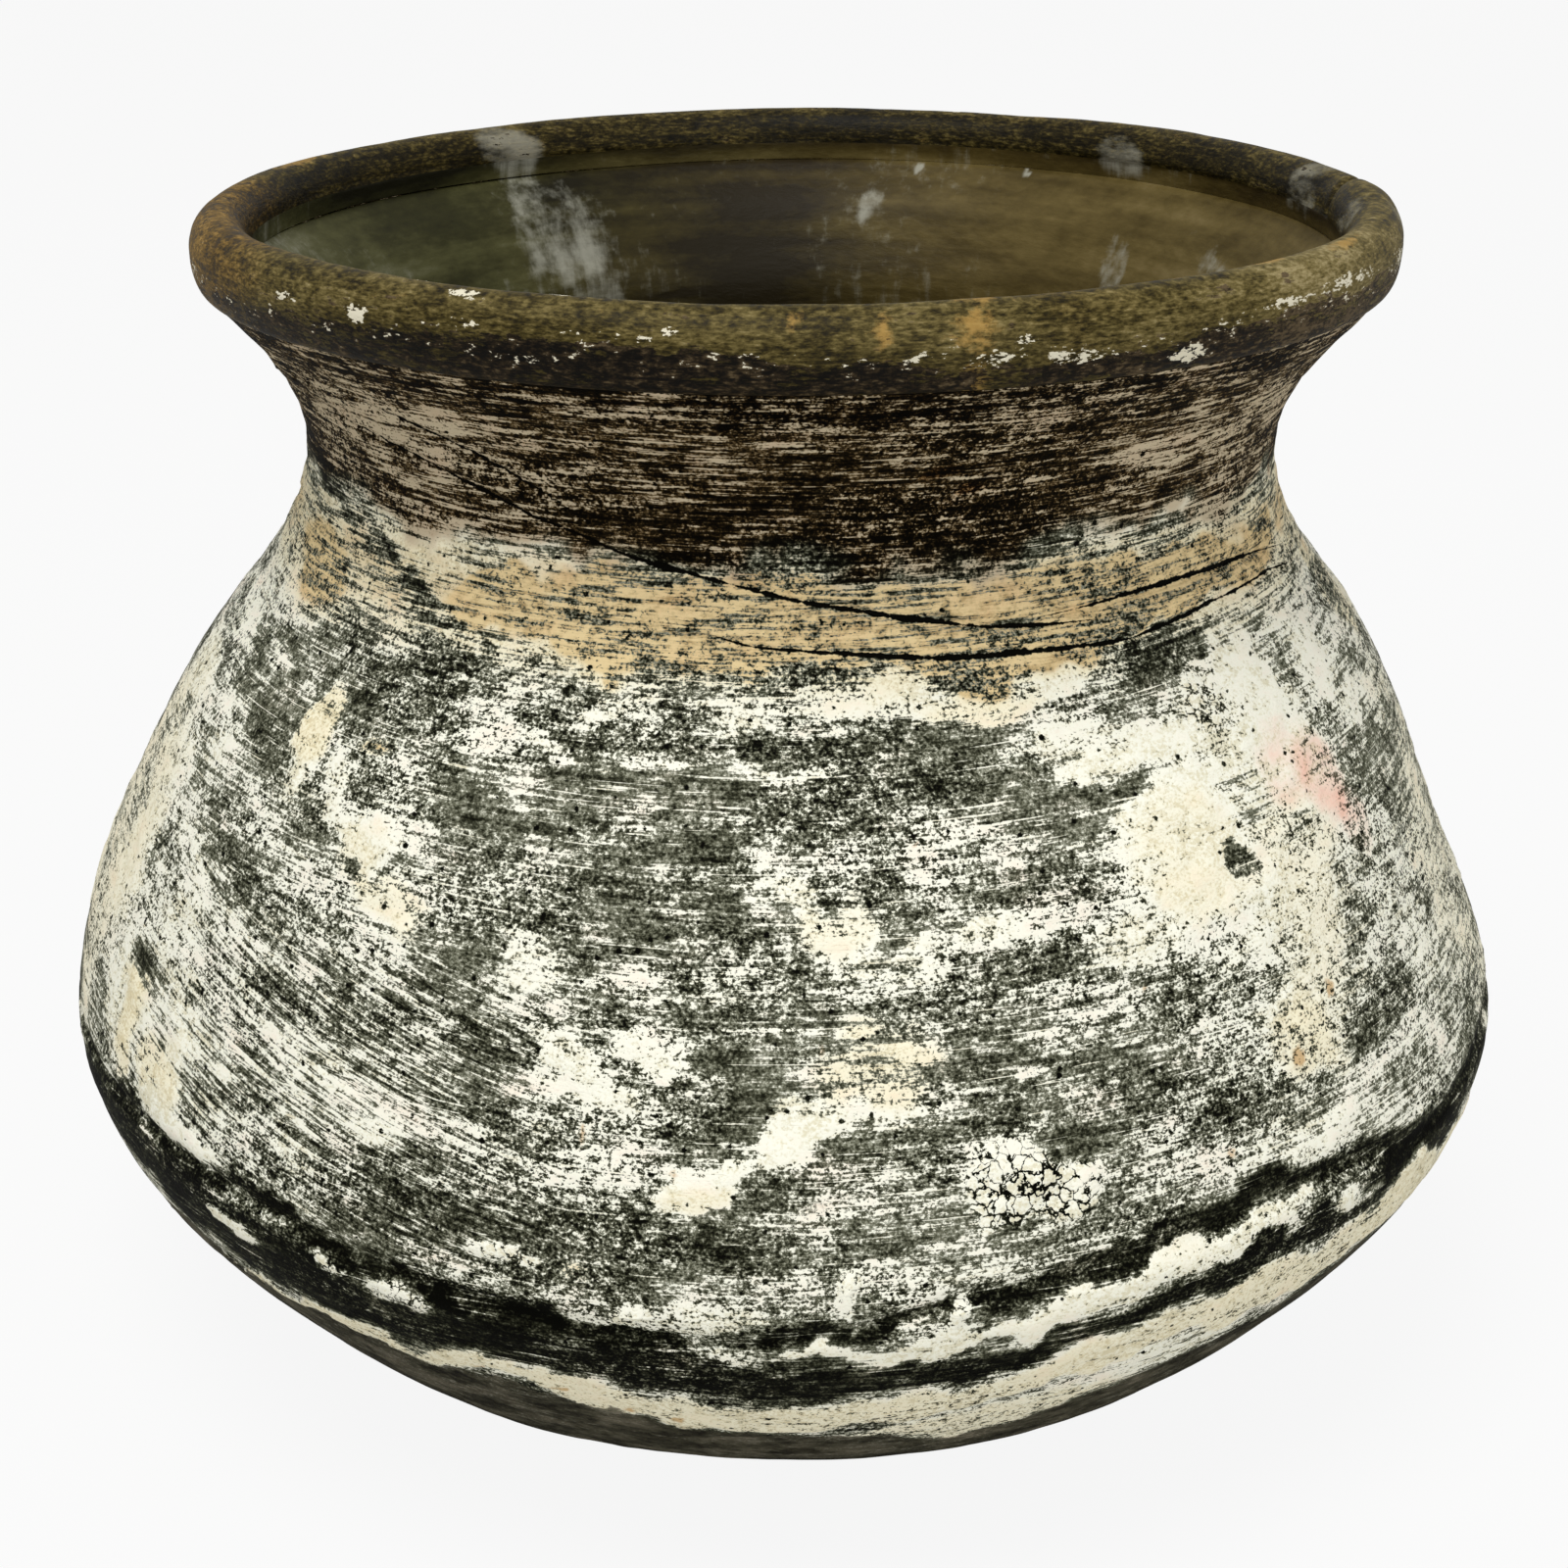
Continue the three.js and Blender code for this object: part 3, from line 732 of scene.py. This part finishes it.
def dress_rim(piece):
    place, side, azimuth, height = survey(piece)
    normal = read(piece.data.vertex_normals, "vector", width=3)
    broad = rough(place, 26)
    middle = rough(place, 8)
    fine = rough(place, 2)
    radius = np.hypot(place[:, 0], place[:, 1])
    along = np.radians(angle_from(azimuth, LAP_AZIMUTH)) * radius / MM
    across = (radius - crown_radius) / MM
    lap_line = along - 0.55 * across
    crown = soft_step(134, 136.5, height)
    relief = 0.4 * broad[:, 0] + 0.14 * middle[:, 0] + 0.04 * fine[:, 0]
    relief -= 0.9 * dent(lap_line, 1.6) + 0.5 * dent(lap_line - 5, 9) * soft_step(1, -2, across)
    relief += 0.45 * dent(lap_line + 8, 14)
    depth = np.where(side > 0.5, relief * crown, 0)
    place += normal * (depth * MM)[:, None]
    print(piece.name, "relief:", round(depth.min(), 2), "to", round(depth.max(), 2), "mm")

    front = soft_step(10, -40, azimuth) * soft_step(-170, -130, azimuth)
    outer = soft_step(0.4, 2.2, across)
    skin = 0.54 + 0.08 * middle[:, 1] + 0.05 * broad[:, 1] + 0.19 * soft_step(-72, -36, azimuth) * front
    skin -= 0.14 * soft_step(-0.6, -2.6, across) + 0.03 * (1 - front)
    tan = 0.95 * soft_step(34, 8, np.abs(angle_from(azimuth, -166)))
    tan += 0.35 * soft_step(0.15, 0.6, broad[:, 2]) * front
    burn_top, burn = path_at(SCORCH_TOP, azimuth)
    above_burn = height - burn_top + 1.2 * middle[:, 0] + 0.5 * fine[:, 1]
    scorch = burn * soft_step(1.6, -1.2, above_burn) * outer
    fleck = 0.46 * dent(height - 136.2 - 0.9 * middle[:, 0], 5) * outer
    for centre, level, wide, tall, amount in RIM_FLECKS:
        near = dent(angle_from(azimuth, centre), wide) * dent(height - level - 0.5 * middle[:, 0], tall)
        fleck = np.maximum(fleck, amount * near * outer)
    for centre, reach, wide, amount in RIM_FLAKES:
        near = dent(angle_from(azimuth, centre), wide) * dent(across - reach - 0.3 * middle[:, 1], 1.7)
        fleck = np.maximum(fleck, amount * near)
    stain = np.zeros(len(height))
    for centre, reach, wide in RIM_STAINS:
        near = dent(angle_from(azimuth, centre), wide)
        stain += near * dent(across - reach - 0.5 * middle[:, 1], 2.2)
    # deep on the rim's inner face is painted shade, darkest at its top, just under the overhanging crown
    store(
        piece, skin=skin, tan=tan, scorch=scorch, fleck=fleck, lap=dent(lap_line, 1.2), stain=stain,
        smear=cover(RIM_SMEARS, azimuth, height, 2.5 * middle[:, :2]), warm=browner(azimuth, broad),
        deep=1.4 * soft_step(135, 137, height),
    )
    finish_mesh(piece, waver(place, azimuth, height))


dress_rim(rim)

# %% [markdown]
# ## Finishes
# A finish is a graph of nodes: patterns and the fields kept on the vertices go in, and one shader comes
# out. It could be painted as a picture, but a graph stays sharp at any distance and joins across the
# sections. Pattern sizes are real ones in millimetres, and Object coordinates fix them to the clay. A
# pattern is squeezed round the ring to draw it out sideways, as the wheel and the wiping hand do.

# %% Helpers for materials
SMOOTH = {"interpolation_type": "SMOOTHSTEP"}
MIX = {"data_type": "RGBA"}
TINT = {"data_type": "RGBA", "blend_type": "MULTIPLY"}
PLUS = {"operation": "ADD"}
LESS = {"operation": "SUBTRACT"}
TIMES = {"operation": "MULTIPLY"}
TIMES_PLUS = {"operation": "MULTIPLY_ADD"}


def linear(hexa):
    parts = [int(hexa[i:i + 2], 16) / 255 for i in (1, 3, 5)]
    return (*[p / 12.92 if p <= 0.04045 else ((p + 0.055) / 1.055) ** 2.4 for p in parts], 1)


def add(tree, kind, settings, *values, **named_values):
    """Adds a node with its settings, and sets or links its inputs, in their order or by name.

    A node given as a value stands for its first output.
    """
    node = tree.nodes.new("ShaderNode" + kind)
    for key, value in settings.items():
        if key == "stops":
            elements = node.color_ramp.elements
            while len(elements) < len(value):
                elements.new(0.5)
            for element, (position, hexa) in zip(elements, value):
                element.position = position
                element.color = linear(hexa)
        else:
            setattr(node, key, value)
    links = list(zip([socket for socket in node.inputs if socket.enabled], values))
    links += [(node.inputs[name.replace("_", " ")], value) for name, value in named_values.items()]
    for socket, value in links:
        if isinstance(value, bpy.types.Node):
            value = next(output for output in value.outputs if output.enabled)
        if isinstance(value, bpy.types.NodeSocket):
            tree.links.new(value, socket)
        else:
            socket.default_value = value
    return node


# %% What the three finishes share: their start and end, patterns, frayed fields and coats


def start_finish(name, *fields):
    """An empty material, its tree, the place on the clay and the fields kept on the vertices."""
    material = bpy.data.materials.new(name)
    material.use_nodes = True
    tree = material.node_tree
    tree.nodes.clear()
    spot = add(tree, "TexCoord", {}).outputs["Object"]
    kept = [add(tree, "Attribute", {"attribute_name": field}).outputs["Fac"] for field in fields]
    return material, tree, spot, *kept


def end_finish(material, tree, colour, roughness, shine, strength, depth, height):
    """A shader with a bump of a depth in millimetres, as the material's only surface."""
    bump = add(tree, "Bump", {}, Strength=strength, Distance=depth * MM, Height=height)
    shader = add(
        tree, "BsdfPrincipled", {}, Base_Color=colour, Roughness=roughness, Normal=bump,
        Specular_IOR_Level=shine,
    )
    add(tree, "OutputMaterial", {}, shader)
    print(material.name, "has", len(tree.nodes), "nodes")


def patterns(tree, where, table):
    """Noises about zero, from rows of squeeze round the ring and upwards, mm, octaves, finer share."""
    noises = []
    for around, upwards, size, octaves, finer in table:
        squeezed = add(tree, "Mapping", {}, where, Scale=(around, around, upwards))
        noise = add(tree, "TexNoise", {}, squeezed, Scale=1 / (size * MM), Detail=octaves, Roughness=finer)
        noises.append(add(tree, "Math", LESS, noise, 0.5))
    return noises


def frayed(tree, field, *terms):
    """A field plus noises or other fields, each times its weight, which breaks up its edges."""
    for weight, value in terms:
        field = add(tree, "Math", TIMES_PLUS, value, weight, field)
    return field


def coated(tree, under, blend, coat, edge, field, *terms, most=1):
    """A colour with a coat over it, where the coat's frayed field rises past an edge."""
    share = add(tree, "MapRange", SMOOTH, frayed(tree, field, *terms), *edge, 0, most)
    return add(tree, "Mix", blend, share, under, coat)


# %% [markdown]
# ## Limewash over fired clay
# The body is earthenware, fired in smoke to a charcoal grey and brushed with limewash, which was then
# rubbed back. The eye sees three things: charcoal clay, a grey-green haze where lime was rubbed into its
# pores, and a chalky cream film with a crisp, broken edge where it stayed. One sum of cover and noises
# decides between them. The haze is a smooth ramp of that sum and the film a steep step at its upper end.

# %% Fields and patterns of the limewash
STREAK = (0.06, 1, 0.45, 6, 0.7)
LIMEWASH_PATTERNS = [
    (0.55, 1, 4.5, 5, 0.6),  # mottle, the size of the flakes that lime comes off in
    (0.7, 1, 0.95, 6, 0.72),  # crumb, where the film broke over grit in the clay
    (0.8, 1, 0.3, 2, 0.6),  # grain, coarser than real lime, which is too fine to show
    (0.35, 1, 9, 3, 0.6),  # wear, patches where a hand rubbed more or less
    STREAK,  # the marks of the brush and the wheel
    (0.03, 1, 0.24, 1, 0.4),  # scratches, drawn wider than the real 0.1 mm so that they show
]
limewash, tree, spot, *fields = start_finish(
    "limewashed_smoke_fired_clay", "lime", "tan", "soot", "slant", "streaks", "crust", "above_tan", "pink",
    "rust", "bottom", "tilted_height", "line_0", "line_1", "line_2", "line_3",
)
lime, tan, soot, slant, streaks, crust, above_tan, pink, rust, bottom, tilted_height, *lines = fields
mottle, crumb, grain, wear, level_streak, scratch = patterns(tree, spot, LIMEWASH_PATTERNS)

# %% How much lime there is: cover, streaks that follow the brush, and broken film
sides = add(tree, "SeparateXYZ", {}, spot).outputs
sloping = add(tree, "CombineXYZ", {}, sides["X"], sides["Y"], tilted_height)
[tilted_streak] = patterns(tree, sloping, [STREAK])
streak = add(tree, "Mix", {}, slant, level_streak, tilted_streak)
rubbed = add(tree, "Math", TIMES, streak, streaks)
ground = frayed(tree, lime, (0.6, mottle), (2.4, rubbed))

worn = add(tree, "MapRange", SMOOTH, wear, -0.12, 0.12, 0.6, 1.25)
bite = frayed(tree, add(tree, "MapRange", SMOOTH, tan, 0.2, 1, 1, 1.15), (0.15, above_tan))
strength = add(tree, "Math", TIMES, worn, bite)
broken_film = add(tree, "Math", TIMES, strength, frayed(tree, 0, (1.45, crumb), (1.3, grain)))
scratched = add(tree, "MapRange", SMOOTH, frayed(tree, scratch, (0.25, mottle)), 0.18, 0.22)
total = frayed(tree, ground, (1, broken_film), (0.3, scratched))

# %% What the cut lines, the crust and the pits add and take
CRUST_PLATE = 1.5 * MM
CRUST_BEND = 2.4 * MM
PIT_SPACING = 2.2 * MM
cut = 10  # millimetres to the nearest line, far to begin with
for line in lines:
    beside = add(tree, "Math", {"operation": "ABSOLUTE"}, line)
    cut = add(tree, "Math", {"operation": "MINIMUM"}, beside, cut)
cut = add(tree, "MapRange", SMOOTH, frayed(tree, cut, (0.9, crumb), (0.8, mottle)), 0.29, 0.15)

bends = add(tree, "TexNoise", {}, spot, Scale=1 / (1.2 * MM), Detail=3).outputs["Color"]
bent = add(tree, "VectorMath", TIMES_PLUS, bends, (CRUST_BEND, CRUST_BEND, CRUST_BEND), spot)
cell_edge = add(tree, "TexVoronoi", {"feature": "DISTANCE_TO_EDGE"}, bent, Scale=1 / CRUST_PLATE)
cell_colour = add(tree, "TexVoronoi", {}, bent, Scale=1 / CRUST_PLATE).outputs["Color"]
plate = add(tree, "Math", LESS, add(tree, "SeparateColor", {}, cell_colour), 0.35)
crack = add(tree, "MapRange", SMOOTH, frayed(tree, cell_edge, (0.2, crumb), (0.3, mottle)), 0.1, 0.02)
broken = frayed(tree, 0.5, (0.4, plate), (-0.95, crack), (0.5, crumb))
crusted = add(tree, "Math", TIMES, crust, broken)

pit = add(tree, "TexVoronoi", {}, spot, Scale=1 / PIT_SPACING)
pitted = add(tree, "MapRange", SMOOTH, frayed(tree, pit, (0.5, crumb)), 0.14, 0.06)
total = frayed(tree, total, (1, crusted), (-0.9, cut), (-0.45, pitted))

# %% Colours of the haze and of the film
# the band under the belly reaches the nearly black lowest stop, partly as painted shade
GREY_HAZE = [
    (0.10, "#050502"), (0.28, "#212216"), (0.40, "#454637"), (0.50, "#6f705e"), (0.58, "#949584"),
    (0.66, "#b8b8a5"),
]
BROWN_HAZE = [
    (0.10, "#050300"), (0.34, "#181106"), (0.44, "#352914"), (0.52, "#5e4c31"), (0.60, "#8b7a5b"),
    (0.70, "#b09f7f"),
]
haze = add(tree, "ValToRGB", {"stops": GREY_HAZE}, total)
brown_haze = add(tree, "ValToRGB", {"stops": BROWN_HAZE}, total)
haze = coated(tree, haze, MIX, brown_haze, (0.3, 0.9), above_tan, (1, mottle))

cream, yellowed, slip = [
    coated(tree, linear(dark), MIX, linear(pale), edge, 0, *noises)
    for dark, pale, edge, noises in [
        ("#e3ddc1", "#f9f8e8", (-0.16, 0.06), [(0.7, mottle), (1, crumb), (0.6, grain)]),
        ("#e0d3ad", "#f7f0d3", (-0.14, 0.1), [(0.7, mottle), (1, crumb), (1, grain)]),
        ("#ad9263", "#e8d19f", (-0.2, 0.16), [(1, streak), (1, crumb)]),
    ]
]
film = coated(tree, cream, MIX, yellowed, (0.05, 0.5), tan, (0.6, mottle))
film = coated(tree, film, MIX, slip, (0.5, 0.95), tan, (0.9, mottle))
film = coated(tree, film, MIX, linear("#cbbc9f"), (0.2, 0.7), above_tan, (1, mottle))

# %% Lay the film over the haze, and stains over both
FILM_EDGE = (0.594, 0.612)
PINK = (1, 0.55, 0.48, 1)
RUST = (0.6, 0.38, 0.17, 1)
# the tint of soot, which also paints the shade under the lip and under the belly
SMOKE_AND_SHADE = (0.26, 0.22, 0.16, 1)
BARE_CLAY = [(0.3, "#25231a"), (0.5, "#3f3c2f"), (0.7, "#665f50")]
# the film holds together where there is much lime, and hardly starts where there is little
held = add(tree, "MapRange", SMOOTH, frayed(tree, ground, (0.3, crust)), 0.5, 0.62, -0.065, 0.065)
edge = add(tree, "MapRange", SMOOTH, add(tree, "Math", PLUS, total, held), *FILM_EDGE)
colour = add(tree, "Mix", MIX, edge, haze, film)
colour = coated(tree, colour, TINT, PINK, (0, 1), pink, (1.2, mottle), (0.5, crumb), most=0.8)
colour = coated(tree, colour, TINT, RUST, (0.3, 0.8), rust, (1, mottle), (1.4, crumb), most=0.75)
bare = add(tree, "ValToRGB", {"stops": BARE_CLAY}, frayed(tree, 0.5, (0.8, mottle), (0.3, crumb)))
colour = coated(tree, colour, MIX, bare, (0.4, 0.6), bottom, (1.4, crumb), (1.4, mottle), most=0.88)
# soot, and painted shade under the lip and under the belly, as one dark tint
colour = coated(tree, colour, TINT, SMOKE_AND_SHADE, (0.28, 0.6), soot, (-1.4, rubbed), (-1, mottle), (-1, crumb))

# %% Bump and shader of the limewash: fired clay and lime are matt, with hardly any mirror shine
height = frayed(tree, add(tree, "Math", TIMES, total, 0.4), (0.5, edge), (0.2, grain))
roughness = add(tree, "MapRange", SMOOTH, total, 0.3, 0.7, 0.66, 0.95)
end_finish(limewash, tree, colour, roughness, shine=0.03, strength=0.8, depth=0.2, height=height)

# %% [markdown]
# ## The burnished rim
# The rim is the same earthenware, rubbed smooth while it was leather-hard and handled since, so its
# olive brown skin shines a little. Lime is left only as flecks along the outer edge, over soot from the
# fire, and a few drops of ochre slip dried on top.

# %% Burnished clay
RIM_PATTERNS = [
    (0.35, 1, 2.6, 8, 0.66),  # mottle, the size of the marks of a rubbing stone
    (0.6, 1, 1.0, 5, 0.68),  # crumb
    (0.35, 1, 0.3, 3, 0.6),  # grain, coarser than the real pores so that it shows
    (0.07, 1, 0.5, 5, 0.7),  # streak, along the way the rim was rubbed
]
OLIVE_CLAY = [
    (0.18, "#0d0a02"), (0.36, "#221c08"), (0.48, "#3d3415"), (0.58, "#564b27"), (0.70, "#6f623a"),
    (0.9, "#988a62"),
]
RIM_SOOT = [(0.3, "#030200"), (0.5, "#0f0a04"), (0.64, "#2a2113"), (0.82, "#5a4c36")]
ORANGE = (1.55, 1.22, 0.9, 1)
burnished, tree, spot, skin, tan, scorch, smear, fleck, lap, stain = start_finish(
    "burnished_olive_clay", "skin", "tan", "scorch", "smear", "fleck", "lap", "stain")
mottle, crumb, grain, streak = patterns(tree, spot, RIM_PATTERNS)
total = frayed(tree, skin, (0.5, mottle), (0.55, crumb), (0.8, grain), (0.6, streak))
colour = add(tree, "ValToRGB", {"stops": OLIVE_CLAY}, total)
colour = coated(tree, colour, TINT, ORANGE, (0.1, 0.9), tan, (0.8, mottle))
colour = coated(
    tree, colour, MIX, linear("#b58f4c"), (0.35, 1.1), stain, (1.8, mottle), (2.4, crumb), most=0.6)
colour = coated(tree, colour, MIX, linear("#a9a592"), (0.2, 0.7), smear, (1.6, mottle), most=0.55)

# %% Scorch, chalky flecks and the lap's shadow, then the shader: low shine, as on rubbed clay
burnt = frayed(tree, scorch, (2.2, mottle), (1.4, crumb), (1.6, streak))
burnt = add(tree, "MapRange", SMOOTH, burnt, 0.38, 0.5)
sooty = add(tree, "ValToRGB", {"stops": RIM_SOOT}, frayed(tree, total, (0.6, crumb)))
colour = add(tree, "Mix", MIX, burnt, colour, sooty)
chalk = frayed(tree, fleck, (2.2, crumb), (1.8, grain), (1.2, mottle))
chalk = add(tree, "MapRange", SMOOTH, chalk, 0.88, 0.94)
colour = add(tree, "Mix", MIX, chalk, colour, linear("#ddd6bf"))
colour = add(tree, "Mix", MIX, add(tree, "Math", TIMES, lap, 0.8), colour, linear("#120d06"))
height = frayed(tree, total, (-0.5, burnt), (0.5, chalk))
roughness = add(tree, "MapRange", SMOOTH, total, 0.3, 0.8, 0.45, 0.65)
end_finish(burnished, tree, colour, roughness, shine=0.1, strength=0.5, depth=0.2, height=height)

# %% [markdown]
# ## The raw inside
# Nothing was brushed inside. The earthenware there is olive, greener on one side and browner on the
# other, with pale smears that ran downwards where lime water got in. Painted shade makes it darker further
# down, on the far side and just under the rolled rim.

# %% Clay inside the mouth
INSIDE_PATTERNS = [
    (0.5, 1, 14, 5, 0.55),  # clouds left by the smoke
    (0.4, 1, 0.9, 4, 0.6),  # the grit of the clay
    (0.05, 1, 2.5, 3, 0.5),  # rings left by the potter's fingers
    (1, 0.15, 1.6, 4, 0.6),  # runs, which are squeezed upwards
]
GREEN_CLAY = [(0.25, "#17160a"), (0.45, "#313018"), (0.6, "#49482a"), (0.8, "#66654a")]
BROWN_CLAY = [(0.25, "#261d09"), (0.45, "#463a19"), (0.6, "#60522c"), (0.8, "#7f6f48")]
raw_inside, tree, spot, smear, warm, deep = start_finish("raw_clay_inside", "smear", "warm", "deep")
clouds, grit, rings, runs = patterns(tree, spot, INSIDE_PATTERNS)
# deep is painted shade, which darkens the clay further down and on the far side
total = frayed(tree, 0.52, (0.9, clouds), (0.25, grit), (0.5, rings), (-0.14, deep))
green = add(tree, "ValToRGB", {"stops": GREEN_CLAY}, total)
brown = add(tree, "ValToRGB", {"stops": BROWN_CLAY}, total)
colour = add(tree, "Mix", MIX, warm, green, brown)
colour = coated(
    tree, colour, MIX, linear("#a6a596"), (0.14, 0.9), smear, (1.3, clouds), (0.5, grit), (1.1, runs),
    most=0.75)
end_finish(raw_inside, tree, colour, roughness=0.5, shine=0.12, strength=0.4, depth=0.3, height=grit)

# %% Give each section its finish


def give_finish(piece, outside, inside):
    mesh = piece.data
    mesh.materials.append(outside)
    mesh.materials.append(inside)
    side = read(mesh.attributes["side"].data, "value")
    first = read(mesh.polygons, "loop_start", np.int32)
    corner = read(mesh.loops, "vertex_index", np.int32)
    inner = side[corner[first]] < -0.5
    mesh.polygons.foreach_set("material_index", inner.astype(np.int32))
    print(piece.name, "has", inner.sum(), "raw faces inside and", (~inner).sum(), "finished ones")


for piece, finish, node, slot in [
    (base, limewash, "base_bowl", "base_clay"),
    (wall, limewash, "body_wall", "wall_clay"),
    (collar, limewash, "neck_collar", "collar_clay"),
    (rim, burnished, "rim_roll", "rim_clay"),
]:
    give_finish(piece, finish, raw_inside)
    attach(piece, "root")
    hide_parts(node)

# %% [markdown]
# ## Floor, light and camera
# The pot stands on a plain pale floor under soft light from above and from the viewer's side, at a
# level at which a colour shows about as it is written. The camera is close, as in a hand-held picture
# of a small thing: a longer lens from further off would make the mouth look flatter.

# %% The floor: matt for every ray, with a glow that only the camera sees and that leaves the shadow
FLOOR_REACH = 3
SEEN_GLOW = 0.9
floor_mesh = bmesh.new()
bmesh.ops.create_grid(floor_mesh, x_segments=1, y_segments=1, size=FLOOR_REACH)
floor_data = bpy.data.meshes.new("floor")
floor_mesh.to_mesh(floor_data)
floor_mesh.free()
floor = put_in_scene("floor", floor_data)

material = bpy.data.materials.new("pale_floor")
material.use_nodes = True
tree = material.node_tree
tree.nodes.clear()
path = add(tree, "LightPath", {}).outputs
matt = add(tree, "BsdfDiffuse", {}, linear("#d4d4d2"))
glow = add(tree, "Emission", {}, (1, 1, 1, 1), 1)
seen = add(tree, "Math", TIMES, path["Is Camera Ray"], SEEN_GLOW)
add(tree, "OutputMaterial", {}, add(tree, "MixShader", {}, seen, matt, glow))
floor_data.materials.append(material)
print("floor:", round(2 * FLOOR_REACH), "m across")

# %% Soft light
SKY_LIGHT = 0.5
world = bpy.data.worlds.new("studio")
world.use_nodes = True
sky = world.node_tree
sky.nodes.clear()
path = add(sky, "LightPath", {}).outputs
direct = add(sky, "Math", {"operation": "MAXIMUM"}, path["Is Camera Ray"], path["Is Transmission Ray"])
level = add(sky, "Math", TIMES_PLUS, direct, 1 - SKY_LIGHT, SKY_LIGHT)
backdrop = add(sky, "Background", {}, (1, 1, 1, 1), level)
add(sky, "OutputWorld", {}, backdrop)
bpy.context.scene.world = world


def soft_lamp(name, place, target, size, watts):
    lamp = bpy.data.lights.new(name, "AREA")
    lamp.shape = "DISK"
    lamp.size = size
    lamp.energy = watts
    holder = put_in_scene(name, lamp)
    holder.location = place
    holder.rotation_euler = (Vector(target) - Vector(place)).to_track_quat("-Z", "Y").to_euler()
    print(name, "is", round(holder.location.length, 2), "m away")


soft_lamp("overhead", (-0.15, -0.35, 0.95), (0, 0, 0.08), 0.5, 5.0)
soft_lamp("front_fill", (0.35, -0.9, 0.4), (0, 0, 0.07), 0.5, 2.2)

# %% The camera
CAMERA_BACK = 308.1 * MM
CAMERA_UP = 192 * MM
CAMERA_DOWN = 22.36
LENS = 59.34
camera_data = bpy.data.cameras.new("camera")
camera_data.sensor_width = 36
camera_data.lens = LENS
camera_data.clip_start = 0.01
camera = put_in_scene("camera", camera_data)
camera.location = (0, -CAMERA_BACK, CAMERA_UP)
print("camera to the pot's axis:", round(camera.location.length / MM), "mm")
camera.rotation_euler = (math.radians(90 - CAMERA_DOWN), 0, 0)
bpy.context.scene.camera = camera
bpy.context.scene.view_settings.view_transform = "Standard"
